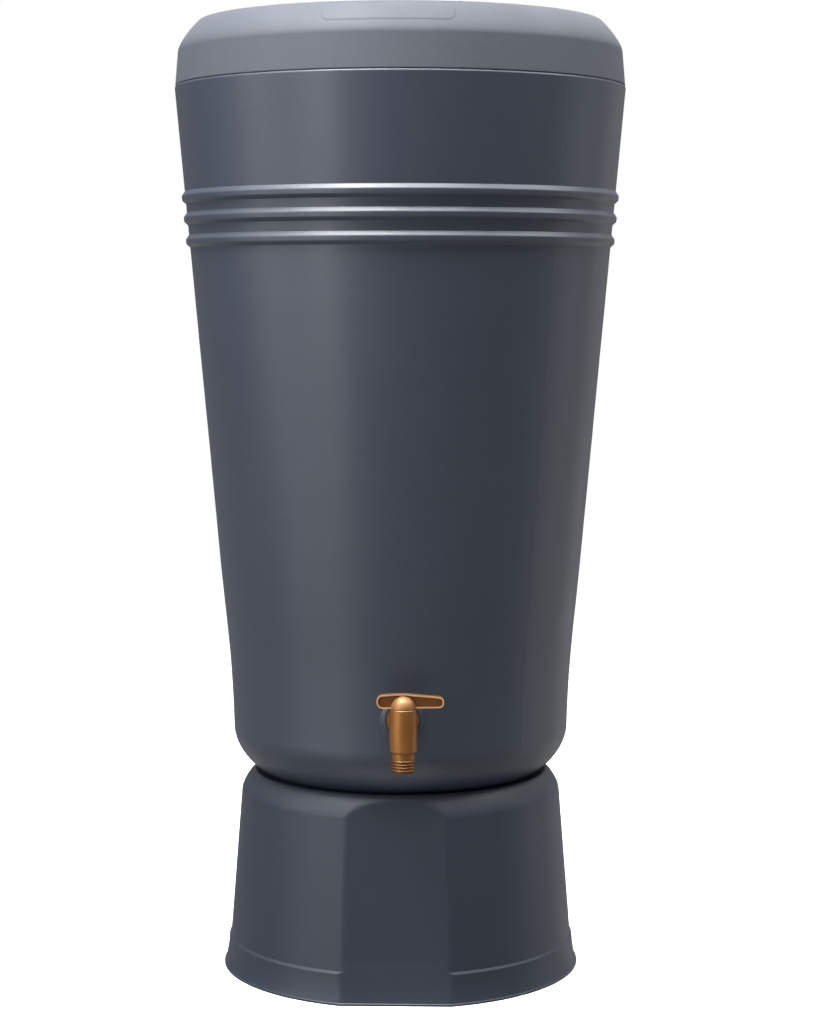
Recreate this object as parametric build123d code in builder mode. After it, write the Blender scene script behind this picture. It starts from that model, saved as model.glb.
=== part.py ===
from build123d import *
import math
import os

# Rain barrel with lid, tap and stand.  Millimetres, +Z up.
# Origin: on the barrel's axis, on the ground.  The tap points along -Y.
os.makedirs("parts", exist_ok=True)

# ---------------------------------------------------------------- sizes
WALL = 3.0  # barrel wall
CONE_R0, CONE_Z0, CONE_SLOPE = 209.97, 469.48, 0.0892  # outer cone of the barrel
SEAM_Z = 1025.5  # shoulder that the lid's edge rests on
NECK_R, NECK_TOP_R, NECK_TOP_Z = 253.4, 252.8, 1052.0
FLOOR_Z = 231.0  # the barrel's underside and the stand's seat
RIBS = (898.7, 874.4, 849.0)  # rib centres
RIB_UP, RIB_DOWN, RIB_OUT = 7.4, 7.1, 4.1  # reach above and below the centre, height

LID_WALL = 2.8
LID_EDGE_R = 258.8
LID_TOP_Z = 1099.0
LID_TURN_Z = 1064.0  # where the skirt starts to turn in
LID_P1, LID_P2, LID_RIM_R = (254.74, 1073.0), (241.74, 1089.45), 231.5  # shoulder
LID_LINE = 0.0855  # taper of the skirt
PAD_TURN = -3.8  # degrees from the front, towards -X
PAD_W, PAD_LOW, PAD_HIGH, PAD_OUT = 141.0, 1077.6, 1094.0, 0.5

STAND_WALL = 3.2
STAND_R0, STAND_Z0, STAND_SLOPE = 187.0, 212.4, 0.08
STAND_TURN = -2.4  # the stand's front facet, degrees from -Y towards -X
FACET_HALF = 17.5  # half the angle that a facet takes up

TAP_Z = 323.0  # inlet axis
TAP_Y = -240.0  # axis of the vertical tube
PAD_Y, PAD_IN_Y = -199.6, -191.6  # outer and inner face of the tap's pad
HOLE_R = 13.5
THREAD_R, ROOT_R = 13.22, 12.2  # 3/4 inch pipe thread, crest and root
TUBE_TOP, TUBE_BOTTOM, OUTLET_Z = 342.0, 295.3, 272.5
PLUG_BORE_R, PLUG_R = 10.0, 9.95
INLET_R = 6.5
GASKET_T = 3.0
SHANK_PITCH = 1.814
LEVER_LONG, LEVER_SHORT = 44.0, 29.0


def cone_r(z):
    return CONE_R0 + CONE_SLOPE * (z - CONE_Z0)


def stand_r(z):
    return STAND_R0 + STAND_SLOPE * (STAND_Z0 - z)


def turned(deg):
    """Horizontal unit vector, deg from -Y, positive towards +X."""
    a = math.radians(deg)
    return Vector(math.sin(a), -math.cos(a), 0)


def upright(deg):
    """Upright plane whose local x points outwards at deg and whose local y is up."""
    out = turned(deg)
    return Plane(origin=(0, 0, 0), x_dir=out, z_dir=out.cross(Vector(0, 0, 1)))


# ---------------------------------------------------------------- stand
FC = math.cos(math.radians(FACET_HALF))


def facet_line(inset):
    """Facet outline (distance from the axis, height) from the ground upwards."""
    return [
        (209.3 * FC - inset, -5.0),
        (209.3 * FC - inset, 2.2),
        (208.3 * FC - inset, 2.9),
        (206.8 * FC - inset, 8.0),
        (205.2 * FC - inset, 15.0),
        (203.7 * FC - inset, 23.0),
        (202.2 * FC - inset, 33.0),
        (stand_r(47.0) * FC - inset, 47.0),
        (stand_r(250.0) * FC - inset, 250.0),
    ]


with BuildPart() as stand_hollow:
    with BuildSketch(Plane.XZ):
        with BuildLine():
            low = Polyline(
                (0, -5),
                (205.9, -5),
                (205.9, 0),
                (203.9, 7.0),
                (202.1, 14.0),
                (199.9, 33.0),
                (stand_r(40.5) - STAND_WALL, 40.5),
                (stand_r(206.0) - STAND_WALL, 206.0),
            )
            over = Bezier(
                low @ 1,
                (183.4, 214.6),
                (172.5, 227.8),
                (165.5, 227.8),
            )
            Line(over @ 1, (0, 227.8))
            Line((0, 227.8), (0, -5))
        make_face()
    revolve(axis=Axis.Z)
    for side in (0, 180):
        with BuildSketch(upright(STAND_TURN + side)):
            with BuildLine():
                Polyline(
                    *facet_line(STAND_WALL), (260, 250), (260, -5), close=True
                )
            make_face()
        extrude(amount=160, both=True, mode=Mode.SUBTRACT)
    # radial ribs and a ring under the deck
    with BuildSketch(Plane.XY.offset(207.0)):
        with PolarLocations(0, 4, start_angle=STAND_TURN + 22.5, angular_range=180):
            Rectangle(400, 3.0)
        with BuildSketch(mode=Mode.PRIVATE) as ring:
            Circle(92.0)
            Circle(89.0, mode=Mode.SUBTRACT)
        add(ring.sketch)
    extrude(amount=30, mode=Mode.SUBTRACT)

with BuildPart() as stand:
    with BuildSketch(Plane.XZ):
        with BuildLine():
            foot = Polyline((0, 0), (209.3, 0), (209.3, 2.2), (208.3, 2.9))
            flare = Bezier(foot @ 1, (206.2, 9.0), (203.9, 20.0), (203.1, 34.2))
            low = Polyline(flare @ 1, (stand_r(37.0), 37.0), (stand_r(207.0), 207.0))
            shoulder = Bezier(low @ 1, (186.5, 218.7), (174.8, 234.2), (168.9, 234.2))
            Polyline(
                shoulder @ 1, (166.6, 233.6), (162.0, FLOOR_Z), (0, FLOOR_Z), (0, 0)
            )
        make_face()
    revolve(axis=Axis.Z)
    for side in (0, 180):
        with BuildSketch(upright(STAND_TURN + side)):
            with BuildLine():
                Polyline(*facet_line(0.0), (260, 250), (260, -5), close=True)
            make_face()
        extrude(amount=160, both=True, mode=Mode.SUBTRACT)
    add(stand_hollow.part, mode=Mode.SUBTRACT)
stand.part.label = "stand"
export_step(stand.part, "parts/stand.step")

# ---------------------------------------------------------------- barrel
SEAM_R = cone_r(SEAM_Z)


def ribbed_outside(top_z):
    """The cone with its three ribs, from top_z down to CONE_Z0."""
    points = [(cone_r(top_z), top_z)]
    for zc in RIBS:
        for dz, out in ((RIB_UP, 0), (2.1, RIB_OUT), (-3.1, RIB_OUT), (-RIB_DOWN, 0)):
            points.append((cone_r(zc + dz) + out, zc + dz))
    points.append((cone_r(CONE_Z0), CONE_Z0))
    Polyline(*points)


def ribbed_inside(top_z):
    """The inner face of the same wall: a hollow behind each rib."""
    here = (cone_r(top_z) - WALL, top_z)
    for zc in RIBS:
        up, down = zc + 6.4, zc - 6.2
        a = (cone_r(up) - WALL, up)
        m = (cone_r(zc) - WALL + RIB_OUT - 0.7, zc)
        b = (cone_r(down) - WALL, down)
        Line(here, a)
        ThreePointArc(a, m, b)
        here = b
    Line(here, (cone_r(CONE_Z0) - WALL, CONE_Z0))


with BuildPart() as barrel:
    with BuildSketch(Plane.XZ) as barrel_section:
        with BuildLine():
            ribbed_outside(SEAM_Z)
            Bezier(
                (cone_r(CONE_Z0), CONE_Z0),
                (203.49, 399.82),
                (197.89, 362.77),
                (196.10, 284.62),
            )
            Bezier(
                (196.10, 284.62), (195.38, 252.92), (163.0, FLOOR_Z), (156.0, FLOOR_Z)
            )
            Polyline(
                (156.0, FLOOR_Z),
                (118.0, FLOOR_Z),
                (108.0, 236.0),
                (0, 236.0),
                (0, 239.2),
                (106.5, 239.2),
                (116.5, 234.2),
                (155.0, 234.2),
            )
            Bezier((155.0, 234.2), (161.5, 234.2), (192.5, 254.6), (193.10, 284.62))
            Bezier(
                (193.10, 284.62),
                (194.9, 362.9),
                (200.4, 400.2),
                (cone_r(CONE_Z0) - WALL, CONE_Z0),
            )
            ribbed_inside(1015.0)
            Polyline(
                (cone_r(1015.0) - WALL, 1015.0),
                (250.4, 1020.4),
                (249.8, NECK_TOP_Z),
                (NECK_TOP_R, NECK_TOP_Z),
                (NECK_R, SEAM_Z),
                (SEAM_R, SEAM_Z),
            )
        make_face()
        corners = barrel_section.vertices()

        def rib_corners(dz, out):
            return [
                v
                for v in corners
                for zc in RIBS
                if abs(v.Y - zc - dz) < 0.05 and abs(v.X - cone_r(v.Y) - out) < 0.05
            ]

        fillet(rib_corners(RIB_UP, 0) + rib_corners(-RIB_DOWN, 0), radius=1.4)
        corners = barrel_section.vertices()
        fillet(rib_corners(2.1, RIB_OUT), radius=3.6)
        corners = barrel_section.vertices()
        fillet(rib_corners(-3.1, RIB_OUT), radius=2.2)
        fillet(barrel_section.vertices().filter_by(lambda v: v.X > SEAM_R - 0.01), radius=2.6)
        fillet(
            barrel_section.vertices().filter_by(lambda v: v.Y > NECK_TOP_Z - 0.01),
            radius=1.2,
        )
    revolve(axis=Axis.Z)
    # flat round pad for the tap, outside and inside the wall
    with BuildSketch(Plane.XZ.offset(-PAD_IN_Y)):
        with Locations((0, TAP_Z)):
            Circle(23.0)
    extrude(amount=PAD_IN_Y - PAD_Y)
    with BuildSketch(Plane.XZ.offset(-PAD_IN_Y - 1.0)):
        with Locations((0, TAP_Z)):
            Circle(HOLE_R)
    extrude(amount=12.0, mode=Mode.SUBTRACT)
barrel.part.label = "barrel"
export_step(barrel.part, "parts/barrel.step")

# ---------------------------------------------------------------- lid
LID_TURN_R = LID_EDGE_R - LID_LINE * (LID_TURN_Z - SEAM_Z)  # top of the straight skirt
PROUD_X, PROUD_Z = 0.772 * PAD_OUT, 0.636 * PAD_OUT  # along the shoulder's normal


def shoulder_line(dx, dz):
    """The lid's shoulder curve, shifted by dx, dz."""
    return Bezier(
        (LID_TURN_R + dx, LID_TURN_Z + dz),
        (LID_P1[0] + dx, LID_P1[1] + dz),
        (LID_P2[0] + dx, LID_P2[1] + dz),
        (LID_RIM_R + dx, LID_TOP_Z + dz),
    )


with BuildPart() as lid_pad:
    with BuildSketch(Plane.XZ):
        with BuildLine():
            a = shoulder_line(PROUD_X, PROUD_Z)
            b = shoulder_line(-PROUD_X, -PROUD_Z)
            Line(a @ 0, b @ 0)
            Line(a @ 1, b @ 1)
        make_face()
    revolve(axis=Axis.Z)
    with BuildSketch(
        Plane(
            origin=turned(PAD_TURN) * 270.0 + Vector(0, 0, (PAD_LOW + PAD_HIGH) / 2),
            x_dir=turned(PAD_TURN + 90),
            z_dir=turned(PAD_TURN),
        )
    ):
        RectangleRounded(PAD_W, PAD_HIGH - PAD_LOW, 6.5)
    extrude(amount=-80, mode=Mode.INTERSECT)

with BuildPart() as lid:
    with BuildSketch(Plane.XZ) as lid_section:
        with BuildLine():
            Line((LID_EDGE_R, SEAM_Z), (LID_TURN_R, LID_TURN_Z))
            shoulder_line(0, 0)
            Polyline(
                (LID_RIM_R, LID_TOP_Z),
                (192.0, LID_TOP_Z),
                (188.5, LID_TOP_Z - 3.5),
                (0, LID_TOP_Z - 3.5),
                (0, LID_TOP_Z - 3.5 - LID_WALL),
                (187.3, LID_TOP_Z - 3.5 - LID_WALL),
                (190.8, LID_TOP_Z - LID_WALL),
                (230.3, LID_TOP_Z - LID_WALL),
            )
            Bezier(
                (230.3, LID_TOP_Z - LID_WALL),
                (LID_P2[0] - 1.8, LID_P2[1] - 2.1),
                (LID_P1[0] - LID_WALL, LID_P1[1] - 1.6),
                (LID_TURN_R - LID_WALL, LID_TURN_Z - 1.0),
            )
            Line(
                (LID_TURN_R - LID_WALL, LID_TURN_Z - 1.0),
                (LID_EDGE_R - LID_WALL - 0.1, SEAM_Z),
            )
            Line((LID_EDGE_R - LID_WALL - 0.1, SEAM_Z), (LID_EDGE_R, SEAM_Z))
        make_face()
        fillet(
            lid_section.vertices().filter_by(
                lambda v: abs(v.Y - SEAM_Z) < 0.01 and v.X > LID_EDGE_R - 0.1
            ),
            radius=1.2,
        )
        fillet(
            lid_section.vertices().filter_by(
                lambda v: v.Y > 1090 and 186 < v.X < 193
            ),
            radius=2.0,
        )
        fillet(
            lid_section.vertices().filter_by(
                lambda v: v.Y > LID_TOP_Z - 0.1 and v.X > 230
            ),
            radius=4.0,
        )
    revolve(axis=Axis.Z)
    # collar inside the barrel's mouth
    with BuildSketch(Plane.XZ):
        with BuildLine():
            Polyline(
                (248.6, 1040.0),
                (248.2, 1077.0),
                (246.0, 1079.2),
                (246.4, 1040.0),
                close=True,
            )
        make_face()
    revolve(axis=Axis.Z)
    add(lid_pad.part)
lid.part.label = "lid"
export_step(lid.part, "parts/lid.step")


# ---------------------------------------------------------------- tap
def ridged(start, end, pitch, crest, root, step):
    """Points of a ridged outline from start to end (heights), step = -1 or 1."""
    points = []
    n = int(abs(end - start) / pitch)
    for i in range(n):
        z = start + step * i * pitch
        points += [
            (root, z),
            (root, z + step * 0.22 * pitch),
            (crest, z + step * 0.42 * pitch),
            (crest, z + step * 0.68 * pitch),
            (root, z + step * 0.88 * pitch),
        ]
    points.append((root, start + step * n * pitch))
    return points


TAP_AXIS = Axis((0, TAP_Y, 0), (0, 0, 1))
SHANK_AXIS = Axis((0, 0, TAP_Z), (0, 1, 0))
tube_plane = Plane(origin=(0, TAP_Y, 0), x_dir=(1, 0, 0), z_dir=(0, -1, 0))
# local x = radius from the shank's axis, local y = towards the barrel (+Y)
shank_plane = Plane(origin=(0, 0, TAP_Z), x_dir=(1, 0, 0), z_dir=(0, 0, 1))

FLANGE_Y = PAD_Y - GASKET_T  # the flange's inner face
FLANGE_T = 4.0
SHANK_END = -172.0
NUT_Y0, NUT_T = PAD_IN_Y + GASKET_T + 1.5, 8.0

with BuildPart() as tap_body:
    # upright tube with its threaded outlet
    with BuildSketch(tube_plane):
        with BuildLine():
            Polyline(
                (0, OUTLET_Z),
                (11.0, OUTLET_Z),
                (12.2, OUTLET_Z + 1.2),
                (12.2, OUTLET_Z + 1.7),
                (THREAD_R, OUTLET_Z + 2.5),
                (THREAD_R, OUTLET_Z + 3.6),
                (12.3, OUTLET_Z + 4.4),
                (12.3, OUTLET_Z + 5.0),
                (THREAD_R, OUTLET_Z + 5.8),
                (THREAD_R, OUTLET_Z + 6.9),
                (12.3, OUTLET_Z + 7.7),
                (12.3, OUTLET_Z + 8.3),
                (THREAD_R, OUTLET_Z + 9.1),
                (THREAD_R, OUTLET_Z + 10.2),
                (12.3, OUTLET_Z + 11.0),
                (12.3, OUTLET_Z + 11.6),
                (THREAD_R, OUTLET_Z + 12.4),
                (THREAD_R, OUTLET_Z + 13.5),
                (12.5, OUTLET_Z + 14.3),
                (12.6, TUBE_BOTTOM - 1.5),
                (14.2, TUBE_BOTTOM),
                (14.75, TUBE_BOTTOM + 0.6),
                (15.1, 318.0),
                (14.6, TUBE_TOP - 0.6),
                (14.1, TUBE_TOP),
                (0, TUBE_TOP),
                (0, OUTLET_Z),
            )
        make_face()
    revolve(axis=TAP_AXIS)
    # shank: neck, flange and thread, from the tube into the barrel
    with BuildSketch(shank_plane):
        with BuildLine():
            Polyline(
                (0, TAP_Y + 2.0),
                (11.0, TAP_Y + 2.0),
                (11.0, FLANGE_Y - FLANGE_T - 1.5),
                (12.5, FLANGE_Y - FLANGE_T),
                (17.4, FLANGE_Y - FLANGE_T),
                (17.4, FLANGE_Y),
                (THREAD_R, FLANGE_Y),
                (THREAD_R, FLANGE_Y + 3.2),
                *ridged(
                    FLANGE_Y + 3.4, SHANK_END - 1.5, SHANK_PITCH, THREAD_R, ROOT_R, 1
                ),
                (ROOT_R, SHANK_END - 0.8),
                (ROOT_R - 0.8, SHANK_END),
                (0, SHANK_END),
                (0, TAP_Y + 2.0),
            )
        make_face()
    revolve(axis=SHANK_AXIS)
    # bores
    with BuildSketch(tube_plane):
        with BuildLine():
            Polyline(
                (0, OUTLET_Z - 1),
                (9.6, OUTLET_Z - 1),
                (9.6, 301.0),
                (7.6, 301.0),
                (7.6, 304.0),
                (PLUG_BORE_R, 304.0),
                (PLUG_BORE_R, 340.4),
                (12.7, 340.4),
                (12.7, TUBE_TOP + 1),
                (0, TUBE_TOP + 1),
                (0, OUTLET_Z - 1),
            )
        make_face()
    revolve(axis=TAP_AXIS, mode=Mode.SUBTRACT)
    with BuildSketch(Plane.XZ.offset(-TAP_Y - 4.0)):
        with Locations((0, TAP_Z)):
            Circle(INLET_R)
    extrude(amount=-80.0, mode=Mode.SUBTRACT)
tap_body.part.label = "tap_body"
export_step(tap_body.part, "parts/tap_body.step")

with BuildPart() as tap_plug:
    with BuildSketch(tube_plane):
        with BuildLine():
            Polyline(
                (0, 298.4),
                (7.5, 298.4),
                (7.5, 299.4),
                (7.0, 299.4),
                (7.0, 300.9),
                (7.5, 300.9),
                (7.5, 304.1),
                (PLUG_R, 304.1),
                (PLUG_R, 307.9),
                (8.5, 307.9),
                (8.5, 309.5),
                (PLUG_R, 309.5),
                (PLUG_R, 334.3),
                (8.5, 334.3),
                (8.5, 335.9),
                (PLUG_R, 335.9),
                (PLUG_R, 340.0),
                (0, 340.0),
                (0, 298.4),
            )
        make_face()
    revolve(axis=TAP_AXIS)
    with BuildSketch(Plane.XY.offset(340.0)):
        with Locations((0, TAP_Y)):
            Rectangle(9.0, 9.0)
    extrude(amount=9.0)
    with BuildSketch(Plane.XY.offset(298.4)):
        with Locations((0, TAP_Y)):
            Circle(6.0)
    extrude(amount=33.0, mode=Mode.SUBTRACT)
    # port, on the left while the valve is shut
    with BuildSketch(Plane.YZ):
        with Locations((TAP_Y, TAP_Z)):
            Circle(5.0)
    extrude(amount=-12.0, mode=Mode.SUBTRACT)
tap_plug.part.label = "tap_plug"
export_step(tap_plug.part, "parts/tap_plug.step")

for ring_name, ring_z in (("plug_o_ring_lower", 308.7), ("plug_o_ring_upper", 335.1)):
    with BuildPart() as o_ring:
        with BuildSketch(tube_plane):
            with Locations((9.22, ring_z)):
                Circle(0.7)
        revolve(axis=TAP_AXIS)
    o_ring.part.label = ring_name
    export_step(o_ring.part, f"parts/{ring_name}.step")

with BuildPart() as plug_clip:
    with BuildSketch(Plane.XY.offset(299.6)):
        with Locations((0, TAP_Y)):
            Circle(9.2)
            Circle(7.05, mode=Mode.SUBTRACT)
            with Locations((0, -8.0)):
                Rectangle(5.0, 8.0, mode=Mode.SUBTRACT)
    extrude(amount=1.1)
plug_clip.part.label = "plug_retaining_clip"
export_step(plug_clip.part, "parts/plug_retaining_clip.step")

LEVER_Z0, LEVER_T = 342.6, 7.0
with BuildPart() as tap_lever:
    # upright plate: round at the short end, tapering to the long end
    with BuildSketch(Plane.XZ.offset(-TAP_Y)) as plate:
        with BuildLine():
            outline = Polyline(
                (-LEVER_SHORT, LEVER_Z0),
                (LEVER_LONG, LEVER_Z0 + 0.8),
                (LEVER_LONG, 354.9),
                (2.0, 358.8),
                (-8.0, 358.7),
                (-LEVER_SHORT, 357.4),
                close=True,
            )
        make_face()
        fillet(
            plate.vertices().filter_by(lambda v: v.X < -20),
            radius=7.1,
        )
        fillet(
            plate.vertices().filter_by(lambda v: v.X > 20),
            radius=5.3,
        )
    extrude(amount=LEVER_T / 2, both=True)
    # recesses on both faces leave a web and a raised border
    for face_side in (1, -1):
        with BuildSketch(
            Plane(
                origin=(0, TAP_Y - face_side * LEVER_T / 2, 0),
                x_dir=(face_side, 0, 0),
                z_dir=(0, -face_side, 0),
            )
        ):
            with BuildSketch(mode=Mode.PRIVATE) as inner:
                add(plate.sketch_local)
                offset(amount=-1.5, kind=Kind.ARC, mode=Mode.REPLACE)
            if face_side == 1:
                add(inner.sketch)
            else:
                add(mirror(inner.sketch, about=Plane.YZ, mode=Mode.PRIVATE))
        extrude(amount=-2.7, mode=Mode.SUBTRACT)
    # domed hub
    with BuildSketch(tube_plane):
        with BuildLine():
            Polyline((0, 340.8), (12.3, 340.8), (12.3, 342.3), (13.9, 342.8))
            Bezier((13.9, 342.8), (13.2, 350.6), (7.4, 356.6), (0, 356.6))
            Line((0, 356.6), (0, 340.8))
        make_face()
    revolve(axis=TAP_AXIS)
    # square socket and the small hole near the long end
    with BuildSketch(Plane.XY.offset(340.0)):
        with Locations((0, TAP_Y)):
            Rectangle(9.0, 9.0)
    extrude(amount=9.0, mode=Mode.SUBTRACT)
    with BuildSketch(Plane.XZ.offset(-TAP_Y)):
        with Locations((36.6, 349.6)):
            Circle(1.6)
    extrude(amount=10.0, both=True, mode=Mode.SUBTRACT)
tap_lever.part.label = "tap_lever"
export_step(tap_lever.part, "parts/tap_lever.step")


for name, y0, thick, outer, inner in (
    ("tap_outer_gasket", PAD_Y, GASKET_T, 19.4, 13.35),
    ("tap_inner_gasket", PAD_IN_Y + GASKET_T, GASKET_T, 19.0, 13.35),
    ("tap_slip_washer", PAD_IN_Y + GASKET_T + 1.5, 1.5, 19.5, 13.4),
):
    with BuildPart() as flat_ring:
        with BuildSketch(Plane.XZ.offset(-y0)):
            with Locations((0, TAP_Z)):
                Circle(outer)
                Circle(inner, mode=Mode.SUBTRACT)
        extrude(amount=thick)
    flat_ring.part.label = name
    export_step(flat_ring.part, f"parts/{name}.step")

with BuildPart() as tap_lock_nut:
    with BuildSketch(Plane.XZ.offset(-NUT_Y0 - NUT_T)):
        with Locations((0, TAP_Z)):
            RegularPolygon(radius=21.0, side_count=6)
    extrude(amount=NUT_T)
    with BuildSketch(Plane.XZ.offset(-NUT_Y0 - 2.0)):
        with Locations((0, TAP_Z)):
            Circle(20.5)
    extrude(amount=2.0)
    with BuildSketch(Plane.XZ.offset(-NUT_Y0 + 1)):
        with Locations((0, TAP_Z)):
            Circle(THREAD_R + 0.08)
    extrude(amount=-30, both=True, mode=Mode.SUBTRACT)
tap_lock_nut.part.label = "tap_lock_nut"
export_step(tap_lock_nut.part, "parts/tap_lock_nut.step")
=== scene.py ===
import math

import bmesh
import bpy
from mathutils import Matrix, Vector


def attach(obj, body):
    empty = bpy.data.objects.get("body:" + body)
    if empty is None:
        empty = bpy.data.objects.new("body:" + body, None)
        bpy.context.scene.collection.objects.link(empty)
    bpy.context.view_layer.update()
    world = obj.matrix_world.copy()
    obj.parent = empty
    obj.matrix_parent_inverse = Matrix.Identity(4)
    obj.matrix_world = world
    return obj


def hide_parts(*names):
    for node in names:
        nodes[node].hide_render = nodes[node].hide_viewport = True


# Rain barrel on its stand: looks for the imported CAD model. Metres; profiles are
# written in millimetres (MM). Front is -Y, +X is to the right seen from there.
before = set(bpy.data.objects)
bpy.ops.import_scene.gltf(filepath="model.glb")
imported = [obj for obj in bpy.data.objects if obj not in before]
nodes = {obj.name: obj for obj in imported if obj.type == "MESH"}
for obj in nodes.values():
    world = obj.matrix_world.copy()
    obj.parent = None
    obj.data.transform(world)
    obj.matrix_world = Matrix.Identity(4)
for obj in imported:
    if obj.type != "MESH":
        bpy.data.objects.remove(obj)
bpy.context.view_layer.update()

MM = 0.001
SCENE = bpy.context.scene
SCENE.view_settings.view_transform = "Standard"
SCENE.view_settings.look = "None"

# ------------------------------------------------------------------ camera
CAM_TURN = -0.71  # degrees round the barrel's axis, from the front towards -X
CAM_DIST, CAM_HEIGHT = 2.8246, 0.79607
CAM_TILT, CAM_PAN = 5.305, 0.2148

camera_data = bpy.data.cameras.new("camera")
camera_data.sensor_fit = "AUTO"
camera_data.sensor_width = 36.0
camera_data.lens = 84.975
camera_data.clip_start = 0.05
camera_data.clip_end = 60.0
camera = bpy.data.objects.new("camera", camera_data)
SCENE.collection.objects.link(camera)
turn = math.radians(CAM_TURN)
camera.location = (CAM_DIST * math.sin(turn), -CAM_DIST * math.cos(turn), CAM_HEIGHT)
camera.rotation_euler = (
    math.radians(90.0 - CAM_TILT),
    0.0,
    math.radians(CAM_TURN - CAM_PAN),
)
SCENE.camera = camera


# ------------------------------------------------------------------ mesh code
def bezier(points, steps):
    """Points on a cubic curve, both ends included."""
    out = []
    for i in range(steps + 1):
        t = i / steps
        w = ((1 - t) ** 3, 3 * t * (1 - t) ** 2, 3 * t * t * (1 - t), t**3)
        out.append(tuple(sum(k * p[a] for k, p in zip(w, points)) for a in (0, 1)))
    return out


def rounded(points, radii, steps=5):
    """Open polyline with its inner corners rounded. radii maps a corner's index to its radius."""
    out = [points[0]]
    for i in range(1, len(points) - 1):
        rad = radii.get(i, 0.0)
        p = Vector(points[i])
        a, b = Vector(points[i - 1]) - p, Vector(points[i + 1]) - p
        if rad <= 0 or a.length < 1e-9 or b.length < 1e-9:
            out.append(tuple(p))
            continue
        half = a.angle(b) / 2
        cut = rad / math.tan(half) if half < math.pi / 2 - 1e-4 else 0.0
        if cut < 1e-6:
            out.append(tuple(p))
            continue
        cut = min(cut, 0.48 * a.length, 0.48 * b.length)
        real = cut * math.tan(half)
        start, end = p + a.normalized() * cut, p + b.normalized() * cut
        centre = p + (a.normalized() + b.normalized()).normalized() * (
            real / math.sin(half)
        )
        u, v = start - centre, end - centre
        whole = u.angle(v)
        for k in range(steps + 1):
            t = k / steps
            w = (u * math.sin((1 - t) * whole) + v * math.sin(t * whole)) / max(
                math.sin(whole), 1e-9
            )
            out.append(tuple(centre + w))
    out.append(points[-1])
    return out


def densify(points, longest, hold=0.5):
    """Adds points on long runs, with two held close to each end so that shading stays flat."""
    out = [points[0]]
    for a, b in zip(points, points[1:]):
        gap = math.dist(a, b)
        if gap > 4 * hold:
            stops = [hold, 3 * hold] if gap > 8 * hold else [hold]
            inner = [s for s in stops if s < gap / 2]
            span = gap - 2 * inner[-1]
            n = max(1, math.ceil(span / longest))
            places = inner + [inner[-1] + span * k / n for k in range(1, n)]
            places += [gap - s for s in reversed(inner)]
            for s in places:
                t = s / gap
                out.append((a[0] + (b[0] - a[0]) * t, a[1] + (b[1] - a[1]) * t))
        out.append(b)
    return out


def at_height(points, z):
    """Radius of a profile at a height; its heights only go up."""
    for a, b in zip(points, points[1:]):
        if a[1] <= z <= b[1]:
            t = 0.0 if b[1] == a[1] else (z - a[1]) / (b[1] - a[1])
            return a[0] + (b[0] - a[0]) * t
    return points[0][0] if z < points[0][1] else points[-1][0]


def place(radius, deg, z):
    """Point at a radius and a turn from the front (-Y) towards +X, millimetres to metres."""
    a = math.radians(deg)
    return Vector((radius * math.sin(a), -radius * math.cos(a), z)) * MM


def new_object(name, bm, material, smooth=True):
    bmesh.ops.recalc_face_normals(bm, faces=bm.faces)
    mesh = bpy.data.meshes.new(name)
    bm.to_mesh(mesh)
    bm.free()
    if smooth:
        mesh.polygons.foreach_set("use_smooth", [True] * len(mesh.polygons))
    mesh.materials.append(material)
    obj = bpy.data.objects.new(name, mesh)
    SCENE.collection.objects.link(obj)
    return obj


def turned_body(name, loop, turns, material, reach=None):
    """Closed solid of revolution from a closed loop of (radius, height). reach(index, deg, r, z) may change the radius."""
    bm = bmesh.new()
    rings = []
    for i, (r, z) in enumerate(loop):
        if r < 1e-6:
            rings.append([bm.verts.new(place(0, 0, z))])
            continue
        ring = []
        for deg in turns:
            rr = reach(i, deg, r, z) if reach else r
            ring.append(bm.verts.new(place(rr, deg, z)))
        rings.append(ring)
    n = len(turns)
    count = len(rings)
    for i in range(count):
        low, high = rings[i], rings[(i + 1) % count]
        if len(low) == 1 and len(high) == 1:
            continue
        for k in range(n):
            m = (k + 1) % n
            if len(low) == 1:
                bm.faces.new((low[0], high[m], high[k]))
            elif len(high) == 1:
                bm.faces.new((low[k], low[m], high[0]))
            else:
                bm.faces.new((low[k], low[m], high[m], high[k]))
    return new_object(name, bm, material)


# ------------------------------------------------------------------ materials
def node_tree(material):
    material.use_nodes = True
    tree = material.node_tree
    tree.nodes.clear()
    out = tree.nodes.new("ShaderNodeOutputMaterial")
    shader = tree.nodes.new("ShaderNodeBsdfPrincipled")
    tree.links.new(shader.outputs[0], out.inputs[0])
    return tree, shader, out


def add(tree, kind, **inputs):
    node = tree.nodes.new(kind)
    for key, value in inputs.items():
        if key.startswith("p_"):
            setattr(node, key[2:], value)
        else:
            node.inputs[key.replace("_", " ")].default_value = value
    return node


def scaled(tree, source, scale):
    """Object coordinates times a per-axis scale."""
    m = add(tree, "ShaderNodeMapping", p_vector_type="POINT")
    m.inputs["Scale"].default_value = scale
    tree.links.new(source, m.inputs["Vector"])
    return m.outputs[0]


def noise(tree, source, scale, detail=2.0, rough=0.5, distortion=0.0):
    n = add(tree, "ShaderNodeTexNoise", p_noise_dimensions="3D")
    n.inputs["Scale"].default_value = scale
    n.inputs["Detail"].default_value = detail
    n.inputs["Roughness"].default_value = rough
    n.inputs["Distortion"].default_value = distortion
    tree.links.new(source, n.inputs["Vector"])
    return n.outputs[0]


def span(tree, source, from_lo, from_hi, to_lo, to_hi, clamp=True):
    m = add(tree, "ShaderNodeMapRange", p_clamp=clamp)
    for key, value in zip(
        ("From Min", "From Max", "To Min", "To Max"), (from_lo, from_hi, to_lo, to_hi)
    ):
        m.inputs[key].default_value = value
    tree.links.new(source, m.inputs["Value"])
    return m.outputs[0]


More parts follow.
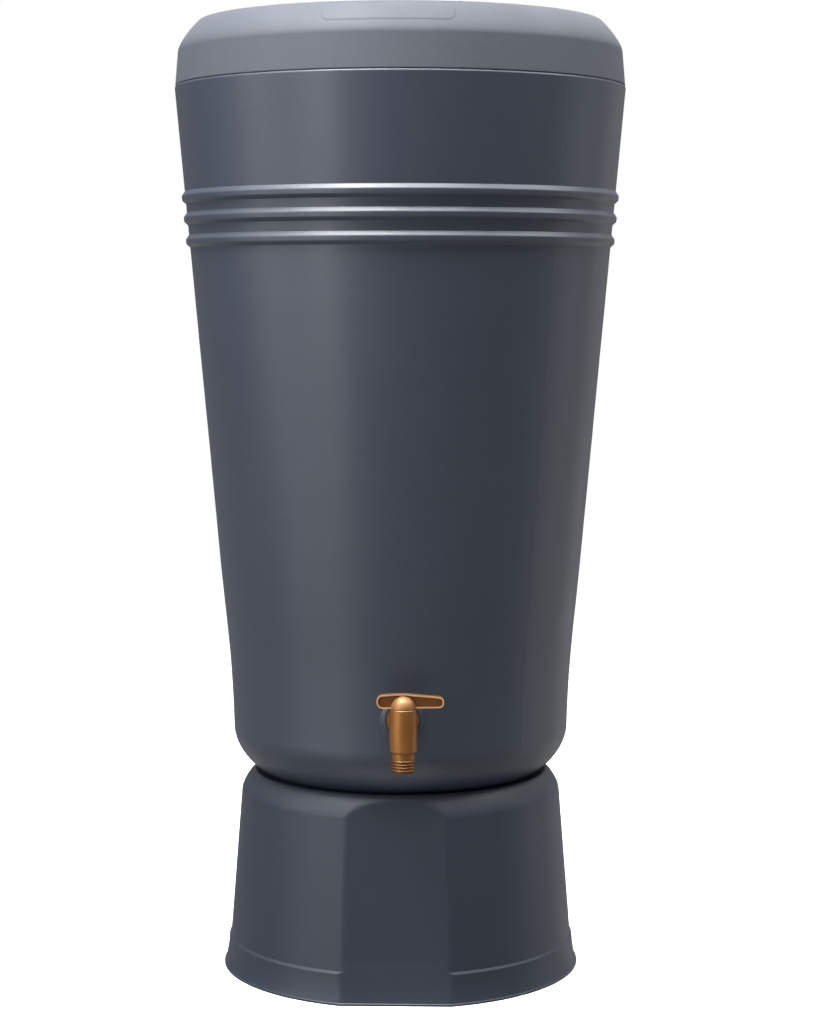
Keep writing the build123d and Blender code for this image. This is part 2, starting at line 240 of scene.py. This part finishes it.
def mixed(tree, factor, a, b, mode="MIX"):
    m = add(tree, "ShaderNodeMix", p_data_type="RGBA", p_blend_type=mode)
    for socket, value in ((m.inputs[0], factor), (m.inputs[6], a), (m.inputs[7], b)):
        if isinstance(value, (float, int)):
            socket.default_value = value
        elif isinstance(value, tuple):
            socket.default_value = (*value[:3], 1.0)
        else:
            tree.links.new(value, socket)
    return m.outputs[2]


def maths(tree, op, a, b=None):
    m = add(tree, "ShaderNodeMath", p_operation=op)
    for socket, value in zip(m.inputs, (a, b)):
        if value is None:
            continue
        if isinstance(value, (float, int)):
            socket.default_value = value
        else:
            tree.links.new(value, socket)
    return m.outputs[0]


def bumped(tree, height, strength, distance, normal=None):
    b = add(tree, "ShaderNodeBump")
    b.inputs["Strength"].default_value = strength
    b.inputs["Distance"].default_value = distance
    tree.links.new(height, b.inputs["Height"])
    if normal is not None:
        tree.links.new(normal, b.inputs["Normal"])
    return b.outputs[0]


def moulded_plastic(name, colour, rough, grain=0.5, ripple=0.3, spread=0.07, level=0.5):
    """Dark polyethylene: slight colour drift, satin gloss that varies, a fine grain and faint level ripples."""
    material = bpy.data.materials.new(name)
    tree, shader, _ = node_tree(material)
    where = add(tree, "ShaderNodeTexCoord").outputs["Object"]
    drift = noise(tree, scaled(tree, where, (1.0, 1.0, 0.45)), 5.0, 3.0)
    specks = noise(tree, where, 420.0, 2.0, 0.6)
    darker = tuple(c * (1 - spread) for c in colour)
    lighter = tuple(c * (1 + spread) for c in colour)
    base = mixed(tree, span(tree, drift, 0.3, 0.7, 0.0, 1.0), darker, lighter)
    base = mixed(
        tree,
        span(tree, specks, 0.35, 0.7, 0.0, 0.22),
        base,
        tuple(c * 1.35 for c in colour),
    )
    tree.links.new(base, shader.inputs["Base Color"])
    gloss = noise(tree, scaled(tree, where, (1.0, 1.0, 0.3)), 22.0, 4.0, 0.6)
    tree.links.new(
        span(tree, gloss, 0.25, 0.75, rough - 0.035, rough + 0.045),
        shader.inputs["Roughness"],
    )
    shader.inputs["IOR"].default_value = 1.5
    shader.inputs["Specular IOR Level"].default_value = level
    fine = noise(tree, where, 700.0, 2.0, 0.55)
    level = noise(
        tree, scaled(tree, where, (9.0, 9.0, 160.0)), 1.0, 3.0, 0.55, 0.4
    )
    normal = bumped(tree, level, ripple, 0.0004)
    normal = bumped(tree, fine, grain, 0.00012, normal)
    tree.links.new(normal, shader.inputs["Normal"])
    return material


def bronze_plastic(name, colour, rough, metal=0.75, coat=0.35, plate=False, painted_thread_shade=False):
    material = bpy.data.materials.new(name)
    tree, shader, _ = node_tree(material)
    where = add(tree, "ShaderNodeTexCoord").outputs["Object"]
    drift = noise(tree, where, 60.0, 3.0)
    flakes = noise(tree, where, 2600.0, 1.0, 0.5)
    base = mixed(
        tree,
        span(tree, drift, 0.3, 0.7, 0.0, 1.0),
        tuple(c * 0.9 for c in colour),
        tuple(c * 1.08 for c in colour),
    )
    base = mixed(
        tree,
        span(tree, flakes, 0.5, 0.75, 0.0, 0.3),
        base,
        (min(1.0, colour[0] * 1.4), min(1.0, colour[1] * 1.45), min(1.0, colour[2] * 1.6)),
    )
    if painted_thread_shade:
        # painted shade: the colour is darkened over the threaded outlet to tone down the light its thread
        # flanks catch
        split = add(tree, "ShaderNodeSeparateXYZ")
        tree.links.new(where, split.inputs[0])
        low = span(tree, split.outputs["Z"], 0.2868, 0.2885, 0.62, 0.0)
        base = mixed(tree, low, base, tuple(c * 0.25 for c in colour))
    if plate:
        # painted shade darkens the colour down in the lever's recesses, and a painted highlight lightens its
        # border's rounded edges
        split = add(tree, "ShaderNodeSeparateXYZ")
        tree.links.new(where, split.inputs[0])
        away = maths(tree, "ABSOLUTE", maths(tree, "ADD", split.outputs["Y"], 0.240))
        # painted shade: darkest at the web deep in the recess, fading out towards the border
        painted_recess_shade = span(tree, away, 0.0009, 0.0031, 0.88, 0.0)
        base = mixed(tree, painted_recess_shade, base, (0.175, 0.056, 0.0125))
        # painted highlight: a pale band along the border's rounded edges, where they catch the light
        painted_rim_highlight = maths(
            tree,
            "MULTIPLY",
            span(tree, away, 0.0029, 0.0033, 0.0, 0.75),
            span(tree, away, 0.0036, 0.0040, 1.0, 0.0),
        )
        base = mixed(tree, painted_rim_highlight, base, (0.72, 0.43, 0.21))
    tree.links.new(base, shader.inputs["Base Color"])
    shader.inputs["Metallic"].default_value = metal
    shader.inputs["IOR"].default_value = 1.5
    shader.inputs["Coat Weight"].default_value = coat
    shader.inputs["Coat Roughness"].default_value = 0.24
    gloss = noise(tree, where, 180.0, 3.0)
    tree.links.new(
        span(tree, gloss, 0.3, 0.7, rough - 0.05, rough + 0.06),
        shader.inputs["Roughness"],
    )
    fine = noise(tree, where, 1500.0, 2.0)
    tree.links.new(bumped(tree, fine, 0.35, 0.00005), shader.inputs["Normal"])
    return material


def plain_stuff(name, colour, rough, metal=0.0, grain_scale=900.0, grain=0.4):
    material = bpy.data.materials.new(name)
    tree, shader, _ = node_tree(material)
    where = add(tree, "ShaderNodeTexCoord").outputs["Object"]
    drift = noise(tree, where, 80.0, 3.0)
    base = mixed(
        tree,
        span(tree, drift, 0.3, 0.7, 0.0, 1.0),
        tuple(c * 0.85 for c in colour),
        tuple(min(1.0, c * 1.15) for c in colour),
    )
    tree.links.new(base, shader.inputs["Base Color"])
    shader.inputs["Metallic"].default_value = metal
    tree.links.new(
        span(tree, noise(tree, where, 300.0), 0.3, 0.7, rough - 0.06, rough + 0.06),
        shader.inputs["Roughness"],
    )
    tree.links.new(
        bumped(tree, noise(tree, where, grain_scale), grain, 0.00006),
        shader.inputs["Normal"],
    )
    return material


BARREL_PLASTIC = moulded_plastic("barrel_plastic", (0.0205, 0.0266, 0.0412), 0.42)
LID_PLASTIC = moulded_plastic(
    "lid_plastic", (0.0415, 0.0470, 0.0597), 0.66, grain=0.7, ripple=0.2, level=0.40
)
STAND_PLASTIC = moulded_plastic(
    "stand_plastic", (0.0150, 0.0204, 0.0325), 0.46, level=0.42
)
TAP_BRONZE = bronze_plastic(
    "tap_bronze_plastic", (0.245, 0.098, 0.0215), 0.44, coat=0.12, painted_thread_shade=True
)
LEVER_BRONZE = bronze_plastic(
    "lever_bronze_plastic", (0.27, 0.138, 0.052), 0.54, coat=0.15, plate=True
)
PLUG_WHITE = plain_stuff("plug_plastic", (0.72, 0.72, 0.68), 0.4)
NUT_BLACK = plain_stuff("nut_plastic", (0.02, 0.02, 0.022), 0.45)
SEAL_RUBBER = plain_stuff("seal_rubber", (0.012, 0.012, 0.013), 0.62, grain=0.8)
CLIP_STEEL = plain_stuff("clip_steel", (0.55, 0.55, 0.56), 0.28, metal=1.0)

for node, material in {
    "barrel": BARREL_PLASTIC,
    "lid": LID_PLASTIC,
    "stand": STAND_PLASTIC,
    "tap_body": TAP_BRONZE,
    "tap_lever": LEVER_BRONZE,
    "tap_plug": PLUG_WHITE,
    "tap_slip_washer": PLUG_WHITE,
    "tap_lock_nut": NUT_BLACK,
    "tap_outer_gasket": SEAL_RUBBER,
    "tap_inner_gasket": SEAL_RUBBER,
    "plug_o_ring_upper": SEAL_RUBBER,
    "plug_o_ring_lower": SEAL_RUBBER,
    "plug_retaining_clip": CLIP_STEEL,
}.items():
    mesh = nodes[node].data
    mesh.materials.clear()
    mesh.materials.append(material)

FLOOR_Z = 231.0  # the barrel's underside and the stand's seat

# ------------------------------------------------------------------ barrel
CONE_R0, CONE_Z0, CONE_SLOPE = 209.97, 469.48, 0.0892
WALL = 3.0
SEAM_Z = 1025.5
RIBS = (849.0, 874.4, 898.7)
RIB_UP, RIB_DOWN, RIB_OUT = 7.4, 7.1, 4.1
TAP_Z, PAD_Y, PAD_R, HOLE_R = 323.0, 199.6, 23.0, 13.5


def cone_r(z):
    return CONE_R0 + CONE_SLOPE * (z - CONE_Z0)


def soft_step(x):
    x = min(1.0, max(0.0, x))
    return x * x * (3 - 2 * x)


def turns_with(step, *bands):
    """Turns round the axis: even ones, and finer ones in each (middle, half width, step) band."""
    turns = {round(k * step, 3) for k in range(round(360 / step))}
    for middle, half, fine in bands:
        n = round(half / fine)
        turns |= {round((middle + k * fine) % 360, 3) for k in range(-n, n + 1)}
    out = []
    for t in sorted(turns):
        if not out or t - out[-1] > 0.03:
            out.append(t)
    return out


def finer(points, low, high, longest):
    """Adds even points to the runs of a profile between two heights."""
    out = [points[0]]
    for a, b in zip(points, points[1:]):
        gap = math.dist(a, b)
        middle = (a[1] + b[1]) / 2
        n = max(1, math.ceil(gap / longest)) if low < middle < high else 1
        for k in range(1, n + 1):
            t = k / n
            out.append((a[0] + (b[0] - a[0]) * t, a[1] + (b[1] - a[1]) * t))
    return out


bottom = rounded(
    [(60.0, 236.0), (108.0, 236.0), (118.0, FLOOR_Z), (156.0, FLOOR_Z)], {1: 2.0, 2: 2.0}
)
bulge = bezier([(156.0, FLOOR_Z), (163.0, FLOOR_Z), (195.38, 252.92), (196.10, 284.62)], 26)
waist = bezier(
    [(196.10, 284.62), (197.89, 362.77), (203.49, 399.82), (CONE_R0, CONE_Z0)], 32
)
ribbed, corner_radii = [], {}
for zc in RIBS:
    for dz, out_by, rad in (
        (-RIB_DOWN, 0, 1.4),
        (-3.1, RIB_OUT, 2.2),
        (2.1, RIB_OUT, 3.6),
        (RIB_UP, 0, 1.4),
    ):
        ribbed.append((cone_r(zc + dz) + out_by, zc + dz))
        corner_radii[len(ribbed)] = rad
wall_line = [(CONE_R0, CONE_Z0)] + ribbed + [(cone_r(SEAM_Z), SEAM_Z), (253.4, SEAM_Z)]
corner_radii[len(wall_line) - 2] = 2.6
wall_up = rounded(wall_line, corner_radii, 7)
neck = rounded(
    [(253.4, SEAM_Z), (252.8, 1052.0), (249.8, 1052.0), (250.4, 1020.4)],
    {1: 1.2, 2: 1.0},
)
barrel_out = bottom + bulge[1:] + waist[1:] + densify(wall_up, 200.0, 0.8)[1:]
barrel_out = finer(barrel_out, 290.0, 356.0, 1.5)
barrel_out = finer(barrel_out, 240.0, 1020.0, 6.5)
barrel_out += densify(neck, 20.0, 0.8)[1:]
inside = [(250.4, 1020.4), (cone_r(1015.0) - WALL, 1015.0)]
for zc in reversed(RIBS):
    for k in range(-5, 6):
        z = zc - k / 5 * 6.3
        inside.append((cone_r(z) - WALL + (RIB_OUT - 0.7) * (1 - (k / 5) ** 2), z))
inside += [(CONE_R0 - WALL, CONE_Z0)]
inside += bezier(
    [(CONE_R0 - WALL, CONE_Z0), (200.4, 400.2), (194.9, 362.9), (193.10, 284.62)], 16
)[1:]
inside += bezier([(193.10, 284.62), (192.5, 254.6), (161.5, 234.2), (155.0, 234.2)], 14)[1:]
inside += rounded(
    [(155.0, 234.2), (116.5, 234.2), (106.5, 239.2), (60.0, 239.2)], {1: 2.0, 2: 2.0}
)[1:]
barrel_loop = (
    [(0.0, 236.0), (20.0, 236.0)]
    + barrel_out
    + inside[1:]
    + [(20.0, 239.2), (0.0, 239.2)]
)
barrel_outer_count = 2 + len(barrel_out)
BARREL_PARTING, LID_PARTING = 43.0, 24.0


def ridge(deg, middle, r, height, half):
    """A fine moulding ridge on both sides of the body."""
    best = 0.0
    for side in (0.0, 180.0):
        off = (deg - middle - side + 180) % 360 - 180
        across = abs(math.radians(off)) * r
        best = max(best, height * max(0.0, 1 - (across / half) ** 2))
    return best


def barrel_reach(i, deg, r, z):
    if i >= barrel_outer_count:
        return r
    off = (deg + 180) % 360 - 180
    if 250.0 < z < 842.0:
        fade = soft_step((z - 250.0) / 60.0) * soft_step((842.0 - z) / 40.0)
        a = math.radians(deg)
        wave = 0.030 * math.sin(z / 6.1 + 0.9 * math.sin(2 * a + z / 71.0))
        wave += 0.034 * math.sin(z / 11.3 + 1.7 * math.sin(a + z / 113.0) + 2.0)
        wave += 0.060 * math.sin(z / 37.0 + 2.1 * math.sin(3 * a + 1.0))
        r += wave * fade
    if z < SEAM_Z - 6.0:
        r += ridge(deg, BARREL_PARTING, r, 0.16, 0.55)
    if abs(off) < 12.0 and 294.0 < z < 352.0:
        flat = PAD_Y / math.cos(math.radians(off))
        away = math.hypot(flat * math.sin(math.radians(off)), z - TAP_Z)
        r += (flat - r) * soft_step((PAD_R + 1.4 - away) / 4.0)
    return r


barrel_shell = turned_body(
    "barrel_shell",
    barrel_loop,
    turns_with(
        2.5,
        (0.0, 8.2, 0.4),
        (BARREL_PARTING, 0.32, 0.08),
        (BARREL_PARTING + 180.0, 0.32, 0.08),
    ),
    BARREL_PLASTIC,
    barrel_reach,
)
# hole for the tap
bm = bmesh.new()
bmesh.ops.create_cone(
    bm, cap_ends=True, segments=96, radius1=HOLE_R * MM, radius2=HOLE_R * MM, depth=40 * MM
)
drill_mesh = bpy.data.meshes.new("drill")
bm.to_mesh(drill_mesh)
bm.free()
drill = bpy.data.objects.new("drill", drill_mesh)
SCENE.collection.objects.link(drill)
drill.rotation_euler = (math.radians(90.0), 0.0, 0.0)
drill.location = (0.0, -196.0 * MM, TAP_Z * MM)
cut = barrel_shell.modifiers.new("tap_hole", "BOOLEAN")
cut.operation = "DIFFERENCE"
cut.solver = "EXACT"
cut.object = drill
bpy.context.view_layer.update()
cut_mesh = bpy.data.meshes.new_from_object(
    barrel_shell.evaluated_get(bpy.context.evaluated_depsgraph_get())
)
whole_mesh = barrel_shell.data
barrel_shell.modifiers.clear()
barrel_shell.data = cut_mesh
bpy.data.meshes.remove(whole_mesh)
bpy.data.objects.remove(drill)
bpy.data.meshes.remove(drill_mesh)
cut_mesh.name = "barrel_shell"
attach(barrel_shell, "barrel")
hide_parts("barrel")

# ------------------------------------------------------------------ lid
LID_TOP, LID_EDGE_R, LID_LINE, LID_TURN_Z = 1099.0, 258.8, 0.0855, 1064.0
PAD_TURN, PAD_W, PAD_LOW, PAD_HIGH = -3.8, 141.0, 1077.6, 1094.0
lid_turn_r = LID_EDGE_R - LID_LINE * (LID_TURN_Z - SEAM_Z)
lid_shoulder = bezier(
    [(lid_turn_r, LID_TURN_Z), (254.74, 1073.0), (241.74, 1089.45), (231.5, LID_TOP)], 44
)
skirt = rounded(
    [(254.9, SEAM_Z), (LID_EDGE_R, SEAM_Z), (lid_turn_r, LID_TURN_Z)], {1: 1.2}, 6
)
lid_out = densify(skirt, 200.0, 0.8)
lid_out = finer(lid_out, SEAM_Z + 2, LID_TURN_Z, 4.0)
lid_out = lid_out[:-1] + lid_shoulder[:-3]
crown = rounded(
    [
        lid_shoulder[-4],
        (231.5, LID_TOP),
        (192.0, LID_TOP),
        (188.5, LID_TOP - 3.5),
        (60.0, LID_TOP - 3.5),
    ],
    {1: 3.0, 2: 2.0, 3: 2.0},
)
lid_out += densify(crown, 20.0, 0.8)[1:]
lid_in = [(60.0, LID_TOP - 6.3)] + densify(
    rounded(
        [
            (60.0, LID_TOP - 6.3),
            (187.3, LID_TOP - 6.3),
            (190.8, LID_TOP - 2.8),
            (230.3, LID_TOP - 2.8),
        ],
        {1: 2.0, 2: 2.0},
    ),
    20.0,
    0.8,
)[1:]
lid_in += bezier(
    [(230.3, LID_TOP - 2.8), (239.94, 1087.35), (251.94, 1071.4), (lid_turn_r - 2.8, 1063.0)], 14
)[1:]
lid_in += densify([(lid_turn_r - 2.8, 1063.0), (254.9, SEAM_Z + 1.0)], 14.0, 0.8)[1:]
lid_loop = (
    lid_out
    + [(20.0, LID_TOP - 3.5), (0.0, LID_TOP - 3.5), (0.0, LID_TOP - 6.3), (20.0, LID_TOP - 6.3)]
    + lid_in
)
lid_outer_count = len(lid_out)


def lid_reach(i, deg, r, z):
    if i >= lid_outer_count or r < 200.0:
        return r
    if SEAM_Z + 2 < z < LID_TOP - 2:
        r += ridge(deg, LID_PARTING, r, 0.14, 0.55)
    off = (deg - PAD_TURN + 180) % 360 - 180
    if abs(off) < 25.0 and z > PAD_LOW - 3:
        along = abs(r * math.sin(math.radians(off))) - (PAD_W / 2 - 6.5)
        up = abs(z - (PAD_LOW + PAD_HIGH) / 2) - ((PAD_HIGH - PAD_LOW) / 2 - 6.5)
        away = math.hypot(max(along, 0.0), max(up, 0.0)) + min(max(along, up), 0.0) - 6.5
        r += 0.55 * soft_step(0.5 - away / 1.1)
    return r


lid_shell = turned_body(
    "lid_shell",
    lid_loop,
    turns_with(
        1.5,
        (PAD_TURN - 16.3, 2.4, 0.24),
        (PAD_TURN + 16.3, 2.4, 0.24),
        (LID_PARTING, 0.36, 0.06),
        (LID_PARTING + 180.0, 0.36, 0.06),
    ),
    LID_PLASTIC,
    lid_reach,
)
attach(lid_shell, "lid")
lid_collar = turned_body(
    "lid_collar",
    densify(
        [(248.6, 1040.0), (248.2, 1077.0), (246.0, 1079.2), (246.4, 1040.0), (248.6, 1040.0)],
        12.0,
        0.4,
    )[:-1],
    [k * 3.0 for k in range(120)],
    LID_PLASTIC,
)
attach(lid_collar, "lid")
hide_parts("lid")

# ------------------------------------------------------------------ stand
STAND_R0, STAND_Z0, STAND_SLOPE = 187.0, 212.4, 0.08
STAND_WALL = 3.2
STAND_TURN, FACET_HALF = -2.4, 17.5
FC = math.cos(math.radians(FACET_HALF))


def stand_r(z):
    return STAND_R0 + STAND_SLOPE * (STAND_Z0 - z)


flare = bezier([(208.3, 2.9), (206.2, 9.0), (203.9, 20.0), (203.1, 34.2)], 12)
outer_low = rounded(
    [(209.3, 0.0), (209.3, 2.2)]
    + flare
    + [
        (stand_r(37.0), 37.0),
        (stand_r(207.0), 207.0),
    ],
    {1: 0.35, 2: 0.3, 14: 0.9, 15: 0.7},
)
facet_low = rounded(
    [
        (209.3 * FC, -5.0),
        (209.3 * FC, 2.2),
        (208.3 * FC, 2.9),
        (206.8 * FC, 8.0),
        (205.2 * FC, 15.0),
        (203.7 * FC, 23.0),
        (202.2 * FC, 33.0),
        (stand_r(47.0) * FC, 47.0),
        (stand_r(250.0) * FC, 250.0),
    ],
    {1: 0.35, 2: 0.3, 3: 10.0, 4: 10.0, 5: 12.0, 6: 15.0, 7: 1.6},
)
facet_heights = [p[1] for p in facet_low if 0.01 < p[1] < 206.0]
outer_low = densify(outer_low, 9.0, 0.6)
have = [p[1] for p in outer_low]
extra = [
    (at_height(outer_low, z), z)
    for z in facet_heights
    if min(abs(z - h) for h in have) > 0.08
]
outer_low = sorted(outer_low + extra, key=lambda p: p[1])
shoulder = bezier(
    [(stand_r(207.0), 207.0), (186.7, 216.6), (174.8, 232.6), (170.8, 232.6)], 24
)
top = densify(
    rounded(
        [(170.8, 232.6), (168.6, 232.1), (165.0, FLOOR_Z), (60.0, FLOOR_Z)],
        {1: 1.5, 2: 0.6},
    ),
    30.0,
)
outer = outer_low + shoulder[1:] + top[1:] + [(20.0, FLOOR_Z), (0.0, FLOOR_Z)]
under = densify(
    [
        (20.0, 227.8),
        (165.5, 227.8),
    ],
    30.0,
)
under += bezier(
    [(165.5, 227.8), (172.5, 227.8), (183.4, 214.6), (stand_r(206.0) - STAND_WALL, 206.0)],
    12,
)[1:]
under += densify(
    [
        (stand_r(206.0) - STAND_WALL, 206.0),
        (stand_r(40.5) - STAND_WALL, 40.5),
        (199.9, 33.0),
        (202.1, 14.0),
        (203.9, 7.0),
        (205.9, 0.0),
    ],
    12.0,
)[1:]
stand_loop = outer + [(0.0, 227.8)] + under
outer_count = len(outer)


def facet_turns():
    """Turns of the stand's mesh columns: even, and close together at the facets' edges."""
    turns = set()
    for k in range(144):
        turns.add(round(k * 2.5, 3))
    for middle in (STAND_TURN, STAND_TURN + 180):
        for side in (-1, 1):
            edge = middle + side * FACET_HALF
            for k in range(-10, 11):
                turns.add(round((edge + k * 0.25) % 360, 3))
    out = []
    for t in sorted(turns):
        if not out or t - out[-1] > 0.12:
            out.append(t)
    return out


def faceted(big, flat, off, soft):
    """Radius at off degrees from a facet's middle: circle of radius big cut by a flat, with a soft edge."""
    if big <= flat + 1e-6 or abs(off) > 60:
        return big
    a = math.radians(abs(off))
    soft = min(soft, flat * 0.5)
    n = flat - soft
    t = math.sqrt(max(0.0, (big - soft) ** 2 - n**2))
    if a >= math.atan2(t, n):
        return big
    if math.tan(a) * flat <= t:
        return flat / math.cos(a)
    along = n * math.cos(a) + t * math.sin(a)
    return along + math.sqrt(max(0.0, along**2 - (n * n + t * t) + soft**2))


def stand_reach(i, deg, r, z):
    inside = i >= outer_count
    flat = at_height(facet_low, z) - (STAND_WALL if inside else 0.0)
    for middle, left, right in ((STAND_TURN, 21.0, 13.0), (STAND_TURN + 180, 16.0, 16.0)):
        off = (deg - middle + 180) % 360 - 180
        r = faceted(r, flat, off, left if off < 0 else right)
    return r


stand_shell = turned_body("stand_shell", stand_loop, facet_turns(), STAND_PLASTIC, stand_reach)
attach(stand_shell, "stand")

# ribs and ring under the deck
bm = bmesh.new()
curve = bezier(
    [(166.0, 229.0), (173.2, 228.8), (184.6, 215.2), (stand_r(207.0) - 1.8, 207.0)], 8
)
side_outline = [(0.0, 207.0)] + curve[::-1] + [(0.0, 229.0)]
for k in range(4):
    deg = STAND_TURN + 22.5 + 45.0 * k
    along = Vector((math.sin(math.radians(deg)), -math.cos(math.radians(deg)), 0.0))
    across = Vector((-along.y, along.x, 0.0))
    half = [(r, z) for r, z in side_outline[1:-1]]
    ring = half + [(-r, z) for r, z in reversed(half)]
    faces = []
    for s in (-1.5, 1.5):
        faces.append(
            [
                bm.verts.new((along * r + across * s + Vector((0, 0, z))) * MM)
                for r, z in ring
            ]
        )
    bm.faces.new(faces[0][::-1])
    bm.faces.new(faces[1])
    for i in range(len(ring)):
        j = (i + 1) % len(ring)
        bm.faces.new((faces[0][i], faces[0][j], faces[1][j], faces[1][i]))
stand_ribs = new_object("stand_deck_ribs", bm, STAND_PLASTIC, smooth=False)
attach(stand_ribs, "stand")
stand_ring = turned_body(
    "stand_deck_ring",
    densify([(89.0, 207.0), (92.0, 207.0), (92.0, 229.0), (89.0, 229.0), (89.0, 207.0)], 12.0, 0.4)[:-1],
    [k * 5.0 for k in range(72)],
    STAND_PLASTIC,
)
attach(stand_ring, "stand")
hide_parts("stand")

# ------------------------------------------------------------------ floor and light
floor_mesh = bpy.data.meshes.new("floor")
bm = bmesh.new()
bmesh.ops.create_circle(bm, cap_ends=True, radius=9.0, segments=96)
bm.to_mesh(floor_mesh)
bm.free()
floor = bpy.data.objects.new("floor", floor_mesh)
SCENE.collection.objects.link(floor)
floor_material = bpy.data.materials.new("floor")
tree, shader, out = node_tree(floor_material)
shader.inputs["Base Color"].default_value = (0.86, 0.86, 0.86, 1.0)
shader.inputs["Roughness"].default_value = 0.9
shader.inputs["Specular IOR Level"].default_value = 0.0
shader.inputs["Emission Color"].default_value = (1.0, 1.0, 1.0, 1.0)
shader.inputs["Emission Strength"].default_value = 0.35
where = add(tree, "ShaderNodeTexCoord").outputs["Object"]
length = add(tree, "ShaderNodeVectorMath", p_operation="LENGTH")
tree.links.new(where, length.inputs[0])
fade = span(tree, length.outputs["Value"], 1.2, 5.0, 0.0, 1.0)
geometry = add(tree, "ShaderNodeNewGeometry")
hide = maths(tree, "MAXIMUM", fade, geometry.outputs["Backfacing"])
clear = add(tree, "ShaderNodeBsdfTransparent")
blend = add(tree, "ShaderNodeMixShader")
tree.links.new(hide, blend.inputs[0])
tree.links.new(shader.outputs[0], blend.inputs[1])
tree.links.new(clear.outputs[0], blend.inputs[2])
tree.links.new(blend.outputs[0], out.inputs[0])
floor_mesh.materials.append(floor_material)
floor.visible_diffuse = False
floor.visible_glossy = False
floor.visible_shadow = False

LIGHTS = {
    # name: (turn from the front in degrees, distance, height, aim height, width, height, watts)
    "over_front": (0.0, 0.7, 2.7, 0.9, 1.2, 0.5, 51.6),
    "over_front_left": (-45.0, 0.9, 2.6, 0.9, 1.0, 0.75, 80.0),
    "over_front_right": (45.0, 0.9, 2.6, 0.9, 1.0, 0.75, 18.0),
    "over_left": (-80.0, 1.3, 2.5, 0.9, 1.6, 1.0, 25.7),
    "over_back": (170.0, 1.3, 2.5, 0.9, 1.6, 1.0, 53.0),
    "over_right": (90.0, 1.5, 2.4, 0.9, 1.2, 1.2, 29.5),
    "left_front": (-40.0, 2.2, 1.3, 0.7, 0.5, 1.8, 12.5),
    "left_side": (-75.0, 2.2, 1.3, 0.7, 0.5, 1.8, 11.8),
    "left_front_tall": (-40.0, 2.2, 0.5, 0.5, 0.35, 2.8, 10.0),
    "left_low": (-62.0, 2.2, 0.2, 0.3, 0.3, 1.2, 4.0),
    "right_side_tall": (100.0, 2.2, 0.5, 0.5, 0.5, 2.8, 5.2),
    "right_back_tall": (135.0, 2.2, 0.5, 0.5, 0.7, 2.8, 3.0),
    "low_front": (0.0, 2.6, -0.6, 0.3, 1.6, 0.6, 1.0),
    "under_front": (-12.0, 0.62, -0.9, 0.27, 1.3, 0.5, 1.9),
}
for name, (deg, dist, z, aim, wide, tall, watts) in LIGHTS.items():
    data = bpy.data.lights.new(name, "AREA")
    data.shape = "RECTANGLE"
    data.size, data.size_y = wide, tall
    data.energy = watts
    lamp = bpy.data.objects.new(name, data)
    SCENE.collection.objects.link(lamp)
    a = math.radians(deg)
    lamp.location = (dist * math.sin(a), -dist * math.cos(a), z)
    lamp.rotation_euler = (
        (Vector((0, 0, aim)) - Vector(lamp.location)).to_track_quat("-Z", "Y").to_euler()
    )
    lamp.visible_camera = False

world = bpy.data.worlds.new("studio")
SCENE.world = world
world.use_nodes = True
tree = world.node_tree
tree.nodes.clear()
world_out = tree.nodes.new("ShaderNodeOutputWorld")
direction = add(tree, "ShaderNodeTexCoord").outputs["Generated"]
split = add(tree, "ShaderNodeSeparateXYZ")
tree.links.new(direction, split.inputs[0])
above = span(tree, split.outputs["Z"], -0.1, 0.4, 0.0, 0.53)
below = span(tree, split.outputs["Z"], 0.1, -0.3, 0.0, 0.50)
surround = add(tree, "ShaderNodeBackground", Strength=1.0)
tree.links.new(maths(tree, "ADD", above, below), surround.inputs[0])
backdrop = add(tree, "ShaderNodeBackground", Strength=1.0)
backdrop.inputs[0].default_value = (1.0, 1.0, 1.0, 1.0)
path = add(tree, "ShaderNodeLightPath")
both = add(tree, "ShaderNodeMixShader")
tree.links.new(path.outputs["Is Camera Ray"], both.inputs[0])
tree.links.new(surround.outputs[0], both.inputs[1])
tree.links.new(backdrop.outputs[0], both.inputs[2])
tree.links.new(both.outputs[0], world_out.inputs[0])
